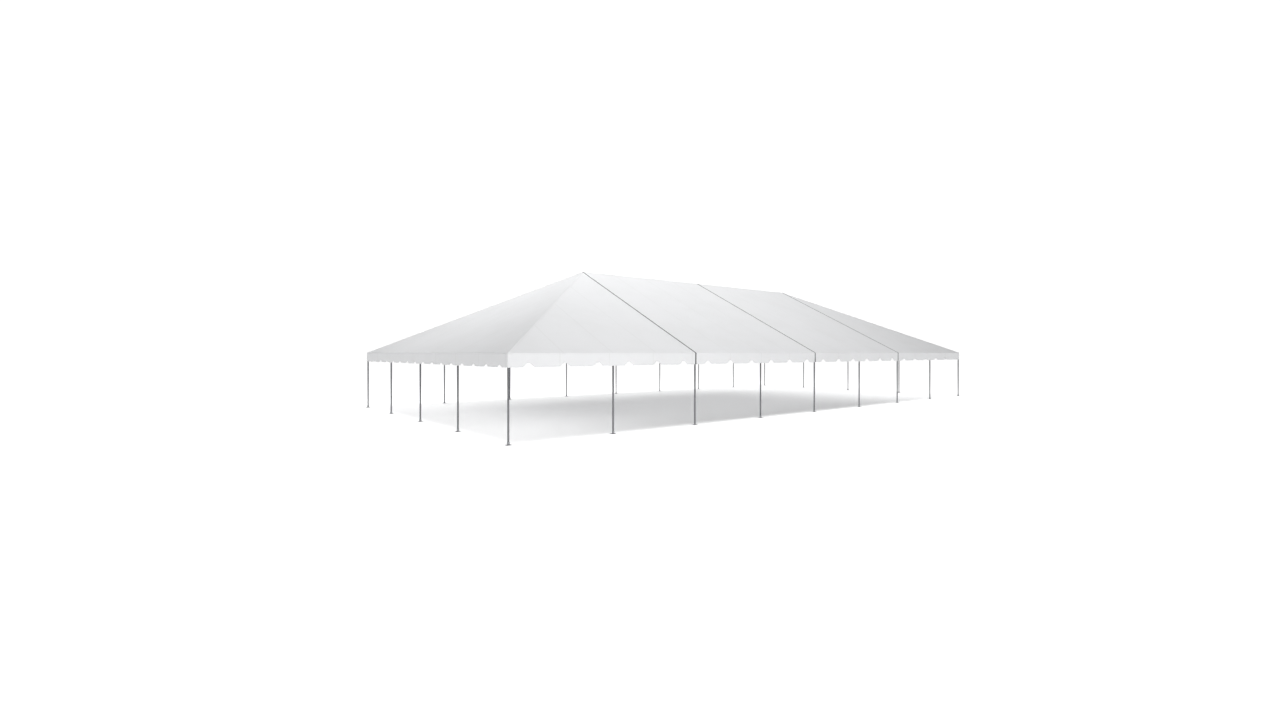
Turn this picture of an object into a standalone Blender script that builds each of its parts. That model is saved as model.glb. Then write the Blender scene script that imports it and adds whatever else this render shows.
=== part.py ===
# Frame tent, 80 ft by 40 ft: hip-ended fabric top in four sections on an aluminium tube frame.
# Metres, +Z up. X runs along the tent, the front side faces -Y, the ground is z = 0.
# The origin is at the middle of the tent's footprint, on the ground.

import math

import bmesh
import bpy
from mathutils import Matrix, Vector

# Driving dimensions
bay = 3.048                    # leg spacing, 10 ft
bays_long = 8
bays_deep = 4
eave_top = 2.165               # where the roof cloth folds over the eave
ridge_top = 5.24               # top of the cloth at the ridge
tube_radius = 0.0254           # 2 in tube: legs, rails, rafters, hips, ridge
sleeve_radius = 0.0318         # fitting sleeve around a tube that runs through
socket_radius = 0.0285         # fitting socket that a tube's end seats on
hub_radius = 0.0300            # ball at the middle of a corner or crown fitting
socket_length = 0.15
sleeve_length = 0.26
end_reach = 0.005              # how far a corner or crown fitting runs past its centre
plate_side = 0.152             # base plate under each leg
plate_thickness = 0.0064
collar_height = 0.07
cloth = 0.005                  # thickness of the cloth solids
valance_depth = 0.345
side_scallop = {"pitch": bay / 3, "notch_width": 0.34, "notch_height": 0.10}    # along the front and back
end_scallop = {"pitch": bay / 4, "notch_width": 0.26, "notch_height": 0.055}    # across the two ends
flap_width = 0.05              # lacing flap over each joint between two sections
flap_thickness = 0.003
seat = 0.0003                  # gap where one piece rests on another
sides = 10                     # facets of a tube
hub_sides = 16
notch_steps = 6

# Worked out from them
half_length = bay * bays_long / 2
half_depth = bay * bays_deep / 2
crown_x = half_length - half_depth
cloth_offset = sleeve_radius + seat + cloth
slope = math.atan((ridge_top - eave_top) / (half_depth + cloth_offset))
ridge_z = ridge_top - cloth_offset / math.cos(slope)
rail_z = eave_top - cloth_offset * (1 - math.sin(slope)) / math.cos(slope)
wall_x = half_length + cloth_offset
wall_y = half_depth + cloth_offset
valance_bottom = eave_top - valance_depth
rise_y = Vector((0, math.cos(slope), math.sin(slope)))
rise_x = Vector((math.cos(slope), 0, math.sin(slope)))
rise_hip = Vector((1, 1, math.tan(slope))).normalized()
down = Vector((0, 0, -1))
along_x = Vector((1, 0, 0))
along_y = Vector((0, 1, 0))


def clear_scene():
    for old in list(bpy.data.objects):
        bpy.data.objects.remove(old, do_unlink=True)


def new_collection(name):
    made = bpy.data.collections.new(name)
    bpy.context.scene.collection.children.link(made)
    return made


def new_material(name, colour, roughness, metallic):
    made = bpy.data.materials.new(name)
    made.use_nodes = True
    shader = made.node_tree.nodes["Principled BSDF"]
    shader.inputs["Base Color"].default_value = (*colour, 1)
    shader.inputs["Roughness"].default_value = roughness
    shader.inputs["Metallic"].default_value = metallic
    return made


clear_scene()
tent = new_collection("frame_tent")
helpers = new_collection("frame_tent_helpers")
aluminium = new_material("aluminium", (0.62, 0.63, 0.66), 0.38, 1.0)
white_vinyl = new_material("white_vinyl", (0.88, 0.89, 0.90), 0.45, 0.0)
grey_webbing = new_material("grey_webbing", (0.30, 0.30, 0.31), 0.7, 0.0)


def move_to(obj, collection):
    for old in list(obj.users_collection):
        old.objects.unlink(obj)
    collection.objects.link(obj)


# A round bar between two points
def bar(name, start, end, radius, material, collection):
    run = end - start
    bpy.ops.mesh.primitive_cylinder_add(vertices=sides, radius=radius, depth=run.length)
    obj = bpy.context.active_object
    obj.name = name
    obj.data.name = name
    obj.location = (start + end) / 2
    obj.rotation_euler = run.to_track_quat("Z", "Y").to_euler()
    obj.data.shade_smooth()
    obj.data.set_sharp_from_angle(angle=math.radians(35))
    obj.data.materials.append(material)
    move_to(obj, collection)
    return obj


def block(name, size, centre, material, collection):
    bpy.ops.mesh.primitive_cube_add(size=1)
    obj = bpy.context.active_object
    obj.name = name
    obj.data.name = name
    obj.data.transform(Matrix.Diagonal((*size, 1)))
    obj.location = centre
    obj.data.materials.append(material)
    move_to(obj, collection)
    return obj


# Joins helper solids onto a base solid
def weld_on(base, extras):
    group = bpy.data.collections.new(base.name + "_joined")
    helpers.children.link(group)
    for extra in extras:
        move_to(extra, group)
        extra.hide_render = True
        extra.display_type = "WIRE"
    union = base.modifiers.new("fittings", "BOOLEAN")
    union.operation = "UNION"
    union.solver = "EXACT"
    union.operand_type = "COLLECTION"
    union.collection = group


def sleeve(point, direction, back=sleeve_length / 2, front=sleeve_length / 2):
    return bar("sleeve", point - direction * back, point + direction * front,
               sleeve_radius, aluminium, helpers)


def socket(point, direction):
    return bar("socket", point, point + direction * socket_length,
               socket_radius, aluminium, helpers)


def hub(point):
    bpy.ops.mesh.primitive_uv_sphere_add(segments=hub_sides, ring_count=10, radius=hub_radius)
    obj = bpy.context.active_object
    obj.name = "hub"
    obj.location = point
    obj.data.shade_smooth()
    obj.data.materials.append(aluminium)
    move_to(obj, helpers)
    return obj


# A tube whose ends seat on two sockets that face each other
def seated_tube(name, start, end):
    direction = (end - start).normalized()
    reach = direction * (socket_length + seat)
    return bar(name, start + reach, end - reach, tube_radius, aluminium, tent)


def mirrored(vector, sign_x, sign_y):
    return Vector((vector.x * sign_x, vector.y * sign_y, vector.z))


# Legs: a tube, its collar and the base plate under it, welded in one
def leg(name, x, y):
    top = rail_z - socket_length - seat
    base = bar(name, Vector((x, y, plate_thickness / 2)), Vector((x, y, top)),
               tube_radius, aluminium, tent)
    collar = bar("collar", Vector((x, y, plate_thickness / 2)),
                 Vector((x, y, plate_thickness + collar_height)), sleeve_radius, aluminium, helpers)
    plate = block("plate", (plate_side, plate_side, plate_thickness),
                  Vector((x, y, plate_thickness / 2)), aluminium, helpers)
    weld_on(base, [collar, plate])


def all_legs():
    for i in range(bays_long + 1):
        x = -half_length + i * bay
        leg(f"leg_front_{i + 1}", x, -half_depth)
        leg(f"leg_back_{i + 1}", x, half_depth)
    for j in range(1, bays_deep):
        y = -half_depth + j * bay
        leg(f"leg_left_{j}", -half_length, y)
        leg(f"leg_right_{j}", half_length, y)


# Eave rails along the front and back: corner fittings at both ends, a tee over each leg between
def long_rail(name, sign_y):
    y = sign_y * half_depth
    inward = -sign_y
    end = half_length + end_reach / 2
    base = bar(name, Vector((-end, y, rail_z)), Vector((end, y, rail_z)), tube_radius, aluminium, tent)
    extras = []
    for i in range(bays_long + 1):
        point = Vector((-half_length + i * bay, y, rail_z))
        extras.append(socket(point, down))
        if i in (0, bays_long):
            toward = 1 if i == 0 else -1
            extras.append(hub(point))
            extras.append(sleeve(point, along_x * toward, end_reach))
            extras.append(socket(point, along_y * inward))
            extras.append(socket(point, mirrored(rise_hip, toward, inward)))
        else:
            extras.append(sleeve(point, along_x))
            extras.append(socket(point, mirrored(rise_y, 1, inward)))
    weld_on(base, extras)


# Eave rails across the two ends
def end_rail(name, sign_x):
    x = sign_x * half_length
    base = seated_tube(name, Vector((x, -half_depth, rail_z)), Vector((x, half_depth, rail_z)))
    extras = []
    for j in range(1, bays_deep):
        point = Vector((x, -half_depth + j * bay, rail_z))
        extras.append(sleeve(point, along_y))
        extras.append(socket(point, down))
        extras.append(socket(point, mirrored(rise_x, -sign_x, 1)))
    weld_on(base, extras)


# Ridge: a crown fitting at each end takes two hips, the end rafter and a pair of rafters
def ridge():
    end = crown_x + end_reach / 2
    base = bar("ridge_beam", Vector((-end, 0, ridge_z)), Vector((end, 0, ridge_z)),
               tube_radius, aluminium, tent)
    extras = []
    for i in range(2, bays_long - 1):
        point = Vector((-half_length + i * bay, 0, ridge_z))
        for sign_y in (-1, 1):
            extras.append(socket(point, -mirrored(rise_y, 1, -sign_y)))
        if i in (2, bays_long - 2):
            toward = 1 if i == 2 else -1
            extras.append(hub(point))
            extras.append(sleeve(point, along_x * toward, end_reach))
            extras.append(socket(point, -mirrored(rise_x, toward, 1)))
            for sign_y in (-1, 1):
                extras.append(socket(point, -mirrored(rise_hip, toward, -sign_y)))
        else:
            extras.append(sleeve(point, along_x))
    weld_on(base, extras)


# Common rafters from the eave to the ridge
def rafters():
    for i in range(2, bays_long - 1):
        x = -half_length + i * bay
        peak = Vector((x, 0, ridge_z))
        for side, sign_y in (("front", -1), ("back", 1)):
            eave = Vector((x, sign_y * half_depth, rail_z))
            seated_tube(f"rafter_{side}_{i - 1}", eave, peak)


# Each end: two hips with a fitting at half their length, four jack rafters and the end rafter
def hip_end(name, sign_x):
    crown = Vector((sign_x * crown_x, 0, ridge_z))
    seated_tube(f"end_rafter_{name}", Vector((sign_x * half_length, 0, rail_z)), crown)
    for side, sign_y in (("front", -1), ("back", 1)):
        corner = Vector((sign_x * half_length, sign_y * half_depth, rail_z))
        middle = (corner + crown) / 2
        hip_line = mirrored(rise_hip, -sign_x, -sign_y)
        up_from_side = mirrored(rise_y, 1, -sign_y)
        up_from_end = mirrored(rise_x, -sign_x, 1)
        hip = seated_tube(f"hip_rafter_{name}_{side}", corner, crown)
        weld_on(hip, [sleeve(middle, hip_line, socket_length, socket_length),
                      socket(middle, -up_from_side),
                      socket(middle, -up_from_end)])
        side_eave = Vector((middle.x, corner.y, rail_z))
        end_eave = Vector((corner.x, middle.y, rail_z))
        seated_tube(f"jack_rafter_{name}_{side}_side", side_eave, middle)
        seated_tube(f"jack_rafter_{name}_{side}_end", end_eave, middle)


# Height of the scalloped hem above the valance's lowest line, as (distance, height) pairs
def hem(length, scallop):
    line = [(0, 0)]
    for k in range(round(length / scallop["pitch"])):
        middle = (k + 0.5) * scallop["pitch"]
        for step in range(notch_steps + 1):
            part = 2 * step / notch_steps - 1
            height = scallop["notch_height"] * (1 + math.cos(math.pi * part)) / 2
            line.append((middle + part * scallop["notch_width"] / 2, height))
    line.append((length, 0))
    return line


# One wall of the valance, seen from outside from its left end to its right end
def valance(start, end, hem_start, hem_length, scallop):
    run = (end - start).normalized()
    width = (end - start).length
    lower = []
    for distance, height in hem(hem_length, scallop):
        place = min(max(distance + hem_start, 0), width)
        lower.append(start + run * place + down * (valance_depth - height))
    return lower + [end, start]


# Turns lists of points into one open surface, joins shared corners and gives it its thickness
def cloth_shell(name, faces, thickness, offset, material):
    mesh = bpy.data.meshes.new(name)
    shell = bmesh.new()
    for face in faces:
        shell.faces.new([shell.verts.new(point) for point in face])
    bmesh.ops.remove_doubles(shell, verts=shell.verts, dist=0.00002)
    shell.to_mesh(mesh)
    shell.free()
    mesh.materials.append(material)
    obj = bpy.data.objects.new(name, mesh)
    tent.objects.link(obj)
    solid = obj.modifiers.new("thickness", "SOLIDIFY")
    solid.solidify_mode = "NON_MANIFOLD"
    solid.nonmanifold_thickness_mode = "CONSTRAINTS"
    solid.nonmanifold_merge_threshold = 0.00001
    solid.thickness = thickness
    solid.offset = offset
    return obj


def middle_section(name, x_start, x_end, hem_start):
    front_left = Vector((x_start, -wall_y, eave_top))
    front_right = Vector((x_end, -wall_y, eave_top))
    back_left = Vector((x_start, wall_y, eave_top))
    back_right = Vector((x_end, wall_y, eave_top))
    ridge_left = Vector((x_start, 0, ridge_top))
    ridge_right = Vector((x_end, 0, ridge_top))
    faces = [valance(front_left, front_right, hem_start, crown_x, side_scallop),
             valance(back_right, back_left, hem_start, crown_x, side_scallop),
             [front_left, front_right, ridge_right, ridge_left],
             [back_right, back_left, ridge_left, ridge_right]]
    cloth_shell(name, faces, cloth, -1, white_vinyl)


def end_section(name, sign_x):
    peak = Vector((sign_x * crown_x, 0, ridge_top))
    seam_front = Vector((sign_x * crown_x, -wall_y, eave_top))
    seam_back = Vector((sign_x * crown_x, wall_y, eave_top))
    corner_front = Vector((sign_x * wall_x, -wall_y, eave_top))
    corner_back = Vector((sign_x * wall_x, wall_y, eave_top))
    if sign_x < 0:
        faces = [valance(corner_front, seam_front, cloth_offset, crown_x, side_scallop),
                 valance(seam_back, corner_back, 0, crown_x, side_scallop),
                 valance(corner_back, corner_front, cloth_offset, half_depth * 2, end_scallop),
                 [corner_front, seam_front, peak],
                 [seam_back, corner_back, peak],
                 [corner_back, corner_front, peak]]
    else:
        faces = [valance(seam_front, corner_front, 0, crown_x, side_scallop),
                 valance(corner_back, seam_back, cloth_offset, crown_x, side_scallop),
                 valance(corner_front, corner_back, cloth_offset, half_depth * 2, end_scallop),
                 [seam_front, corner_front, peak],
                 [corner_back, seam_back, peak],
                 [corner_front, corner_back, peak]]
    cloth_shell(name, faces, cloth, -1, white_vinyl)


# A flap that lies over the joint between two sections, from hem to hem
def lacing_flap(name, x):
    lift_y = wall_y + seat
    eave = eave_top + seat * (1 - math.sin(slope)) / math.cos(slope)
    peak = ridge_top + seat / math.cos(slope)
    line = [(-lift_y, valance_bottom), (-lift_y, eave), (0, peak), (lift_y, eave), (lift_y, valance_bottom)]
    faces = []
    for (y_a, z_a), (y_b, z_b) in zip(line, line[1:]):
        faces.append([Vector((x - flap_width / 2, y_a, z_a)), Vector((x + flap_width / 2, y_a, z_a)),
                      Vector((x + flap_width / 2, y_b, z_b)), Vector((x - flap_width / 2, y_b, z_b))])
    cloth_shell(name, faces, flap_thickness, 1, grey_webbing)


all_legs()
long_rail("eave_rail_front", -1)
long_rail("eave_rail_back", 1)
end_rail("eave_rail_left", -1)
end_rail("eave_rail_right", 1)
ridge()
rafters()
hip_end("left", -1)
hip_end("right", 1)
end_section("canopy_left_end", -1)
middle_section("canopy_middle_left", -crown_x + seat, -seat / 2, 0)
middle_section("canopy_middle_right", seat / 2, crown_x - seat, 0)
end_section("canopy_right_end", 1)
lacing_flap("lacing_flap_left", -crown_x)
lacing_flap("lacing_flap_middle", 0)
lacing_flap("lacing_flap_right", crown_x)
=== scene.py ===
from math import atan, cos, floor, hypot, pi, radians, sin, tan

import bmesh
import bpy
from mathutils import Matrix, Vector
from mathutils.geometry import tessellate_polygon


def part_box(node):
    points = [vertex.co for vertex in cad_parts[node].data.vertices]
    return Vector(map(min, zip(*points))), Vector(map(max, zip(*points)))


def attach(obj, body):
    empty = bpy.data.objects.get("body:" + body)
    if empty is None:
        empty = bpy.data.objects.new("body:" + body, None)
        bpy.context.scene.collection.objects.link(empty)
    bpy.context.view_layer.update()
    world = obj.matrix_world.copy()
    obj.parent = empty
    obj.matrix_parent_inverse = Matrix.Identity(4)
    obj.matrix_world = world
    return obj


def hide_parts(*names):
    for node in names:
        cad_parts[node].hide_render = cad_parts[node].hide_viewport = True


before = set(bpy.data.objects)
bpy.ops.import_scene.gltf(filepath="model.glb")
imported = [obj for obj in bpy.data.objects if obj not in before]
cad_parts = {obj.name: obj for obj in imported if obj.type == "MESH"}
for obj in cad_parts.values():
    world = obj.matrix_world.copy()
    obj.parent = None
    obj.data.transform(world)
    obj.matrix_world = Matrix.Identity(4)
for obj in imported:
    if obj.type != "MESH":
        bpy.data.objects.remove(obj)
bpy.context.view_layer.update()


def at(x, y, z=0.0):
    return Vector((x, y, z))


print("frame tent: the frame has", len(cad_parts), "nodes")

legLow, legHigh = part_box("leg_front_1")
cornerLeg = (legLow + legHigh) / 2
endLow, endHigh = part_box("canopy_left_end")

tent = {
    "bay": 3.048,
    "baysLong": 8,
    "baysDeep": 4,
    "valanceDepth": 0.345,
    "bindingStart": 0.005,  # past the hem line, in the cloth's own metres
    "tubeRadius": 0.0254,
    "sleeveRadius": 0.0318,
    "socketRadius": 0.0285,
    "socketLength": 0.15,
    "sleeveHalf": 0.13,
    "seat": 0.0003,         # room between a tube's end and the fitting that carries it
}
bay = tent["bay"]
halfLength = -cornerLeg.x
halfDepth = -cornerLeg.y
crownX = halfLength - halfDepth
wallX = -endLow.x
wallY = -endLow.y
ridgeTop = endHigh.z
hemLow = endLow.z
eaveTop = hemLow + tent["valanceDepth"]
clothOffset = wallY - halfDepth
hemRun = -tent["valanceDepth"] - tent["bindingStart"]
slope = atan((ridgeTop - eaveTop) / wallY)
slopeTan = tan(slope)
ridgeZ = ridgeTop - clothOffset / cos(slope)
railZ = eaveTop - clothOffset * (1 - sin(slope)) / cos(slope)
riseY = at(0, cos(slope), sin(slope))
riseX = at(cos(slope), 0, sin(slope))
riseHip = at(1, 1, slopeTan).normalized()
down = at(0, 0, -1)
skyward = at(0, 0, 1)
alongX = at(1, 0, 0)
alongY = at(0, 1, 0)
ridgeLines = range(tent["baysDeep"] // 2, tent["baysLong"] - tent["baysDeep"] // 2 + 1)


def isSocket(value):
    return hasattr(value, "is_output")


# shader helpers: a value is a plain one or a socket to link, and a node goes into the tree of its sockets
def feed(socket, value):
    if isSocket(value):
        socket.id_data.links.new(value, socket)
    else:
        socket.default_value = value


def addNode(kind, values=None, tree=None, **settings):
    values = values or {}
    if tree is None:
        tree = next(value.id_data for value in values.values() if isSocket(value))
    node = tree.nodes.new("ShaderNode" + kind)
    for key, value in settings.items():
        setattr(node, key, value)
    for key, value in values.items():
        feed(node.inputs[key], value)
    return node


def calc(operation, *terms):
    return addNode("Math", dict(enumerate(terms)), operation=operation).outputs[0]


# how far a value is from the nearest middle between two lines of this pitch, as a share of the pitch
def fromMiddle(value, pitch):
    return calc("ABSOLUTE", calc("SUBTRACT", calc("FRACT", calc("DIVIDE", value, pitch)), 0.5))


def ramp(value, low, high, toLow=0.0, toHigh=1.0, shape="LINEAR"):
    values = {"Value": value, "From Min": low, "From Max": high, "To Min": toLow, "To Max": toHigh}
    return addNode("MapRange", values, interpolation_type=shape).outputs["Result"]


def noise(vector, scale, detail, roughness=0.5):
    values = {"Vector": vector, "Scale": scale, "Detail": detail, "Roughness": roughness}
    return addNode("TexNoise", values).outputs["Fac"]


def axesOf(vector):
    return addNode("SeparateXYZ", {0: vector}).outputs


# inputs 6 and 7 and output 2 are the colour ones of this node
def mix(factor, first, second):
    low, high = [part if isSocket(part) else (*part, 1) for part in (first, second)]
    return addNode("Mix", {0: factor, 6: low, 7: high}, data_type="RGBA").outputs[2]


def joinSurfaces(factor, first, second, ending="Material Output"):
    both = addNode("MixShader", {0: factor, 1: first.outputs[0], 2: second.outputs[0]})
    feed(first.id_data.nodes[ending].inputs["Surface"], both.outputs[0])


# a group is built once and placed in each material with its own values
def newGroup(name, inputs, outputs):
    group = bpy.data.node_groups.new(name, "ShaderNodeTree")
    for label, value in inputs.items():
        kind = "NodeSocketVector" if label == "Vector" else "NodeSocketFloat"
        group.interface.new_socket(label, in_out="INPUT", socket_type=kind).default_value = value
    for label in outputs:
        group.interface.new_socket(label, in_out="OUTPUT", socket_type="NodeSocketFloat")
    return group, group.nodes.new("NodeGroupInput").outputs, group.nodes.new("NodeGroupOutput").inputs


def useGroup(group, values):
    return addNode("Group", values, node_tree=group).outputs


# fine woven base cloth that shows through the coating, from the piece's own metres
def buildScrim():
    group, given, result = newGroup("scrimWeave", {"Vector": (0, 0, 0), "Thread Spacing": 0.002}, ["Height"])
    axes = axesOf(given["Vector"])
    waves = []
    for axis in ("X", "Y"):
        turns = calc("DIVIDE", axes[axis], given["Thread Spacing"])
        waves.append(calc("SINE", calc("MULTIPLY", turns, 2 * pi)))
    both = calc("MULTIPLY", *waves)
    feed(result["Height"], calc("MULTIPLY_ADD", both, 0.5, 0.5))
    return group


# soft large stains and fine specks, as one mask
def buildSoil():
    inputs = {"Vector": (0, 0, 0), "Patch Scale": 1.5, "Amount": 0.5}
    group, given, result = newGroup("softSoil", inputs, ["Mask"])
    patches = noise(given["Vector"], given["Patch Scale"], detail=4.0, roughness=0.6)
    specks = noise(given["Vector"], scale=60.0, detail=2.0)
    mixed = calc("MULTIPLY", ramp(patches, 0.45, 0.8), specks)
    feed(result["Mask"], calc("MULTIPLY", mixed, given["Amount"]))
    return group


# lines drawn along a tube by the die, with a few rubbed patches
def buildDrawLines():
    group, given, result = newGroup("drawLines", {"Vector": (0, 0, 0), "Fineness": 900.0}, ["Lines", "Rub"])
    stretched = addNode("Mapping", {"Vector": given["Vector"], "Scale": (1.0, 0.01, 1.0)})
    feed(result["Lines"], noise(stretched.outputs["Vector"], given["Fineness"], detail=3.0))
    feed(result["Rub"], noise(given["Vector"], scale=7.0, detail=5.0, roughness=0.65))
    return group


# a row of lockstitch: where the thread lies, from the distance across and along the seam
def buildStitches(threadEdge=(1.3, 0.6), gapEdge=(0.36, 0.48)):
    inputs = {"Across": 0.0, "Along": 0.0, "Row": 0.0, "Pitch": 0.006, "Half Width": 0.0008}
    group, given, result = newGroup("stitchRow", inputs, ["Thread"])
    away = calc("ABSOLUTE", calc("SUBTRACT", given["Across"], given["Row"]))
    line = ramp(calc("DIVIDE", away, given["Half Width"]), *threadEdge)
    gap = ramp(fromMiddle(given["Along"], given["Pitch"]), *gapEdge, 1.0, 0.0)
    feed(result["Thread"], calc("MULTIPLY", line, gap))
    return group


scrimWeave = buildScrim()
softSoil = buildSoil()
drawLines = buildDrawLines()
stitchRow = buildStitches()


def newMaterial(name, looks):
    made = bpy.data.materials.new(name)
    made.use_nodes = True
    made.diffuse_color = (*looks["colour"], 1)
    shader = made.node_tree.nodes["Principled BSDF"]
    shader.inputs["Base Color"].default_value = (*looks["colour"], 1)
    shader.inputs["Roughness"].default_value = looks["roughness"]
    shader.inputs["Metallic"].default_value = looks.get("metallic", 0.0)
    if "specular" in looks:
        shader.inputs["Specular IOR Level"].default_value = looks["specular"]
    return made, made.node_tree, shader


def pieceMetres(tree):
    return addNode("UVMap", tree=tree, uv_map="metres").outputs[0]


def dressShader(shader, colour, height, strength, distance):
    feed(shader.inputs["Base Color"], colour)
    bump = addNode("Bump", {"Height": height, "Strength": strength, "Distance": distance})
    feed(shader.inputs["Normal"], bump.outputs["Normal"])


# the thread of several stitch rows as one mask
def stitchRows(across, along, rows, pitch, halfWidth):
    thread = 0.0
    for row in rows:
        values = {"Across": across, "Along": along, "Row": row, "Pitch": pitch, "Half Width": halfWidth}
        thread = calc("MAXIMUM", thread, useGroup(stitchRow, values)["Thread"])
    return thread


vinylLooks = {
    "colour": (0.86, 0.865, 0.875),
    "soilColour": (0.60, 0.60, 0.58),
    "soilPatch": 0.9,
    "soilAmount": 0.22,
    "roughness": 0.56,
    "roughSpread": (-0.06, 0.08),
    "specular": 0.12,
    "glow": 0.10,           # share of light that comes through
    "panelWidth": 1.524,    # width of one welded panel of cloth
    "lapWidth": 0.04,       # weld where two panels overlap
    "lapEdge": (0.62, 0.45),    # where the weld's step starts and ends, as a share of its width
    "lapTint": 0.12,
    "threadTint": 0.35,
    "threadSpacing": 0.0022,
    "foldScale": 1.4,
    "heights": {"weave": 0.00005, "lap": 0.0008, "fold": 0.004, "stitch": 0.0007},
    "bump": (0.6, 1.0),
    "valanceRows": (-0.0325, -0.0385, hemRun - 0.005, hemRun - 0.037),
    "tapeMiddle": -0.76,    # the tapes lie here in the cloth's own metres, clear of the laps
    "tapeRows": (-0.790, -0.730),
    "stitch": (0.006, 0.0008),
}


def vinylMaterial(looks):
    made, tree, shader = newMaterial("whiteVinyl", looks)
    ownMetres = pieceMetres(tree)
    axes = axesOf(ownMetres)
    ground = addNode("TexCoord", tree=tree).outputs["Object"]
    lapEdge = [0.5 - share * looks["lapWidth"] / looks["panelWidth"] for share in looks["lapEdge"]]
    lap = ramp(fromMiddle(axes["X"], looks["panelWidth"]), *lapEdge, shape="SMOOTHSTEP")
    lapped = mix(calc("MULTIPLY", lap, looks["lapTint"]), looks["colour"], looks["soilColour"])
    soilValues = {"Vector": ground, "Patch Scale": looks["soilPatch"], "Amount": looks["soilAmount"]}
    soil = useGroup(softSoil, soilValues)["Mask"]
    soiled = mix(soil, lapped, looks["soilColour"])
    weave = useGroup(scrimWeave, {"Vector": ownMetres, "Thread Spacing": looks["threadSpacing"]})["Height"]
    fold = noise(ground, looks["foldScale"], detail=3.0)
    level = stitchRows(axes["Y"], axes["X"], looks["valanceRows"], *looks["stitch"])
    upright = stitchRows(axes["X"], axes["Y"], looks["tapeRows"], *looks["stitch"])
    thread = calc("MAXIMUM", level, upright)
    height = 0.0
    for name, part in (("weave", weave), ("lap", lap), ("fold", fold), ("stitch", thread)):
        height = calc("ADD", height, calc("MULTIPLY", part, looks["heights"][name]))
    threaded = mix(calc("MULTIPLY", thread, looks["threadTint"]), soiled, looks["soilColour"])
    dressShader(shader, threaded, height, *looks["bump"])
    rough = [looks["roughness"] + part for part in looks["roughSpread"]]
    feed(shader.inputs["Roughness"], ramp(fold, 0.0, 1.0, *rough))
    through = addNode("BsdfTranslucent", {"Color": threaded})
    joinSurfaces(looks["glow"], shader, through)
    return made


tubeGrain = {
    "rubEdges": (0.35, 0.7),
    "roughEdges": (0.3, 0.75),
    "roughSpread": (-0.08, 0.12),
    "bump": (0.25, 0.0004),
}


def tubeMaterial(name, looks):
    made, tree, shader = newMaterial(name, looks)
    lines = useGroup(drawLines, {"Vector": pieceMetres(tree), "Fineness": looks["fineness"]})
    rubbed = ramp(lines["Rub"], *tubeGrain["rubEdges"])
    rough = [looks["roughness"] + part for part in tubeGrain["roughSpread"]]
    feed(shader.inputs["Roughness"], ramp(lines["Rub"], *tubeGrain["roughEdges"], *rough))
    shade = mix(rubbed, looks["colour"], looks["rubbed"])
    dressShader(shader, shade, lines["Lines"], *tubeGrain["bump"])
    return made


webbingWeave = {
    "wearScale": 9.0,
    "paintedWeaveShade": 0.6,     # painted shade in the weave: the colour is darkened to this share of itself
    "paintedShadeShare": 0.35,
    "stitch": (0.006, 0.0009),
    "bump": (0.5, 0.0006),
}


def webbingMaterial(name, looks):
    made, tree, shader = newMaterial(name, looks)
    ownMetres = pieceMetres(tree)
    height = useGroup(scrimWeave, {"Vector": ownMetres, "Thread Spacing": looks["thread"]})["Height"]
    wear = noise(ownMetres, webbingWeave["wearScale"], detail=4.0)
    shade = mix(wear, looks["colour"], looks["faded"])
    # painted shade in the weave, darker where the weave's height is high
    groove = [webbingWeave["paintedWeaveShade"] * part for part in looks["colour"]]
    shade = mix(calc("MULTIPLY", height, webbingWeave["paintedShadeShare"]), shade, groove)
    if "stitches" in looks:
        axes = axesOf(ownMetres)
        thread = stitchRows(axes["X"], axes["Y"], looks["stitches"], *webbingWeave["stitch"])
        shade = mix(thread, shade, looks["threadColour"])
        height = calc("ADD", height, thread)
    dressShader(shader, shade, height, *webbingWeave["bump"])
    return made


whiteVinyl = vinylMaterial(vinylLooks)
legAluminium = tubeMaterial("legAluminium", {
    "colour": (0.175, 0.178, 0.188), "rubbed": (0.235, 0.238, 0.25),
    "roughness": 0.50, "metallic": 0.85, "fineness": 900.0})
frameAluminium = tubeMaterial("frameAluminium", {
    "colour": (0.42, 0.43, 0.45), "rubbed": (0.52, 0.53, 0.55),
    "roughness": 0.38, "metallic": 1.0, "fineness": 900.0})
zincSteel = tubeMaterial("zincSteel", {
    "colour": (0.32, 0.325, 0.335), "rubbed": (0.44, 0.445, 0.455),
    "roughness": 0.45, "metallic": 1.0, "fineness": 60.0})
flapWebbing = webbingMaterial("flapWebbing", {
    "colour": (0.072, 0.072, 0.078), "faded": (0.108, 0.108, 0.115), "roughness": 0.7, "thread": 0.0024,
    "stitches": (-0.0185, 0.0185), "threadColour": (0.25, 0.25, 0.26)})
strapWebbing = webbingMaterial("strapWebbing", {
    "colour": (0.55, 0.55, 0.56), "faded": (0.66, 0.66, 0.66), "roughness": 0.75, "thread": 0.0020})
tubeSlot, metalSlot, strapSlot = 0, 1, 2    # the order of the materials on legs and frame pieces
print("frame tent: materials made")


# the piece in the making: its points, faces, places in metres and material slots, until finishPiece
points, faces, metres, slots = [], [], [], []


# a face from pairs of a point's number and its place in the piece's own metres
def addFace(corners, slot=0):
    faces.append([number for number, uv in corners])
    metres.extend([part for number, uv in corners for part in uv])
    slots.append(slot)


# a grid from rows of (point, place in metres), seen from outside with the rows going up, the points right
def addRibbon(rows, slot=0, closed=False):
    width = len(rows[0])
    lines = []
    for row in rows:
        first = len(points)
        lines.append([(first + m, uv) for m, (point, uv) in enumerate(row)])
        points.extend([point for point, uv in row])
    for low, high in zip(lines, lines[1:]):
        for m in range(width if closed else width - 1):
            n = (m + 1) % width
            addFace([low[m], low[n], high[n], high[m]], slot)


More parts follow.
